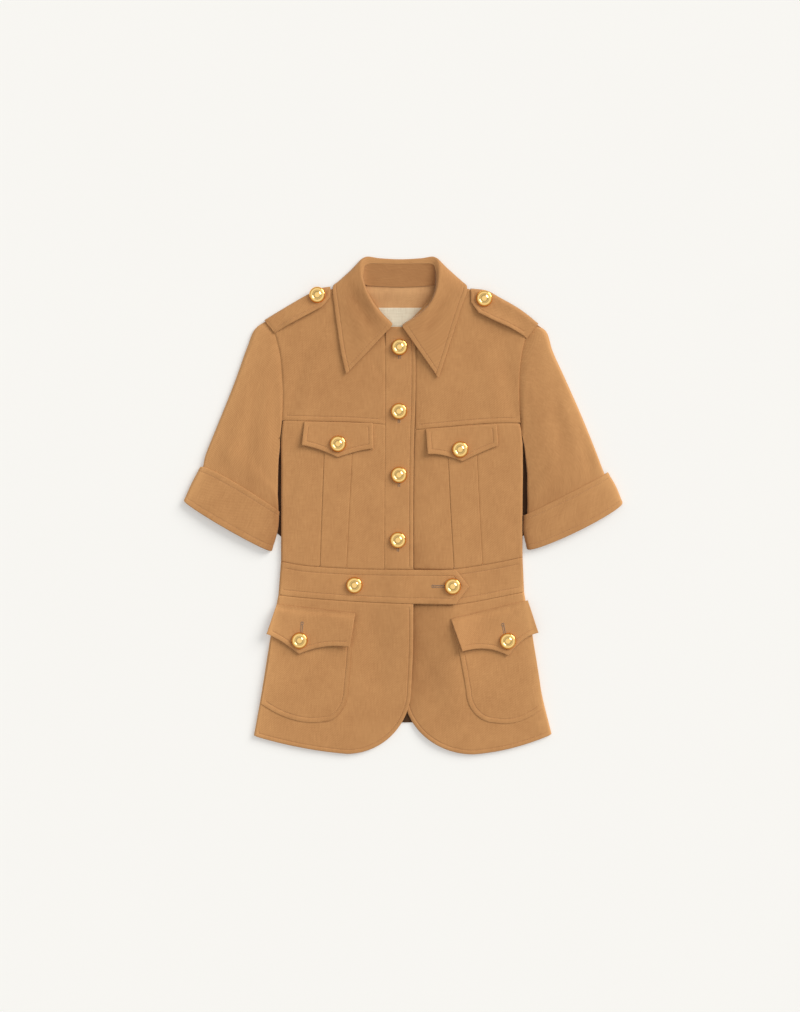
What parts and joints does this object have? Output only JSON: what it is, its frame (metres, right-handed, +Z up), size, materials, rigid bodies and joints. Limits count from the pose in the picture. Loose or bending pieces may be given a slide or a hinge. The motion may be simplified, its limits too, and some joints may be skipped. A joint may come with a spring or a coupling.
{
  "type": "short-sleeved jacket",
  "caption": "Short-sleeved belted jacket laid flat: pointed collar, shoulder straps, lapped placket, pleated front, flapped hip pockets, turned-up cuffs, round-cut hem, domed metal buttons.",
  "frame": {"origin": "on the surface that the jacket lies on, under the middle of its outline", "axes": "+Z up off the surface, +Y from the hem to the collar, +X toward the wearer's left sleeve"},
  "size_m": [0.6132, 0.6958, 0.0168],
  "materials": {
    "tan_cloth": "matt, fine twill weave",
    "stand_cloth": "matt, fine twill weave, in shade",
    "facing_cloth": "soft sheen, smooth weave",
    "label_cloth": "satin, bare",
    "gold_metal": "polished gold plate"
  },
  "bodies": {
    "root": {"back_band": "tan_cloth", "back_bodice": "tan_cloth", "back_facing": "facing_cloth", "back_skirt": "tan_cloth", "band_left": "tan_cloth", "band_right": "tan_cloth", "button_band_left": "gold_metal", "button_band_right": "gold_metal", "button_chest_left": "gold_metal", "button_chest_right": "gold_metal", "button_hip_left": "gold_metal", "button_hip_right": "gold_metal", "button_placket_1": "gold_metal", "button_placket_2": "gold_metal", "button_placket_3": "gold_metal", "button_placket_4": "gold_metal", "button_strap_left": "gold_metal", "button_strap_right": "gold_metal", "chest_flap_left": "tan_cloth", "chest_flap_right": "tan_cloth", "collar_fall": "tan_cloth", "collar_stand": "stand_cloth", "cuff_left": "tan_cloth", "cuff_right": "tan_cloth", "front_left": "tan_cloth", "front_right": "tan_cloth", "hip_flap_left": "tan_cloth", "hip_flap_right": "tan_cloth", "hip_pocket_left": "tan_cloth", "hip_pocket_right": "tan_cloth", "neck_label": "label_cloth", "placket": "tan_cloth", "skirt_left": "tan_cloth", "skirt_right": "tan_cloth", "sleeve_left": "tan_cloth", "sleeve_right": "tan_cloth", "strap_left": "tan_cloth", "strap_right": "tan_cloth", "yoke_left": "tan_cloth", "yoke_right": "tan_cloth"}
  },
  "joints": []
}
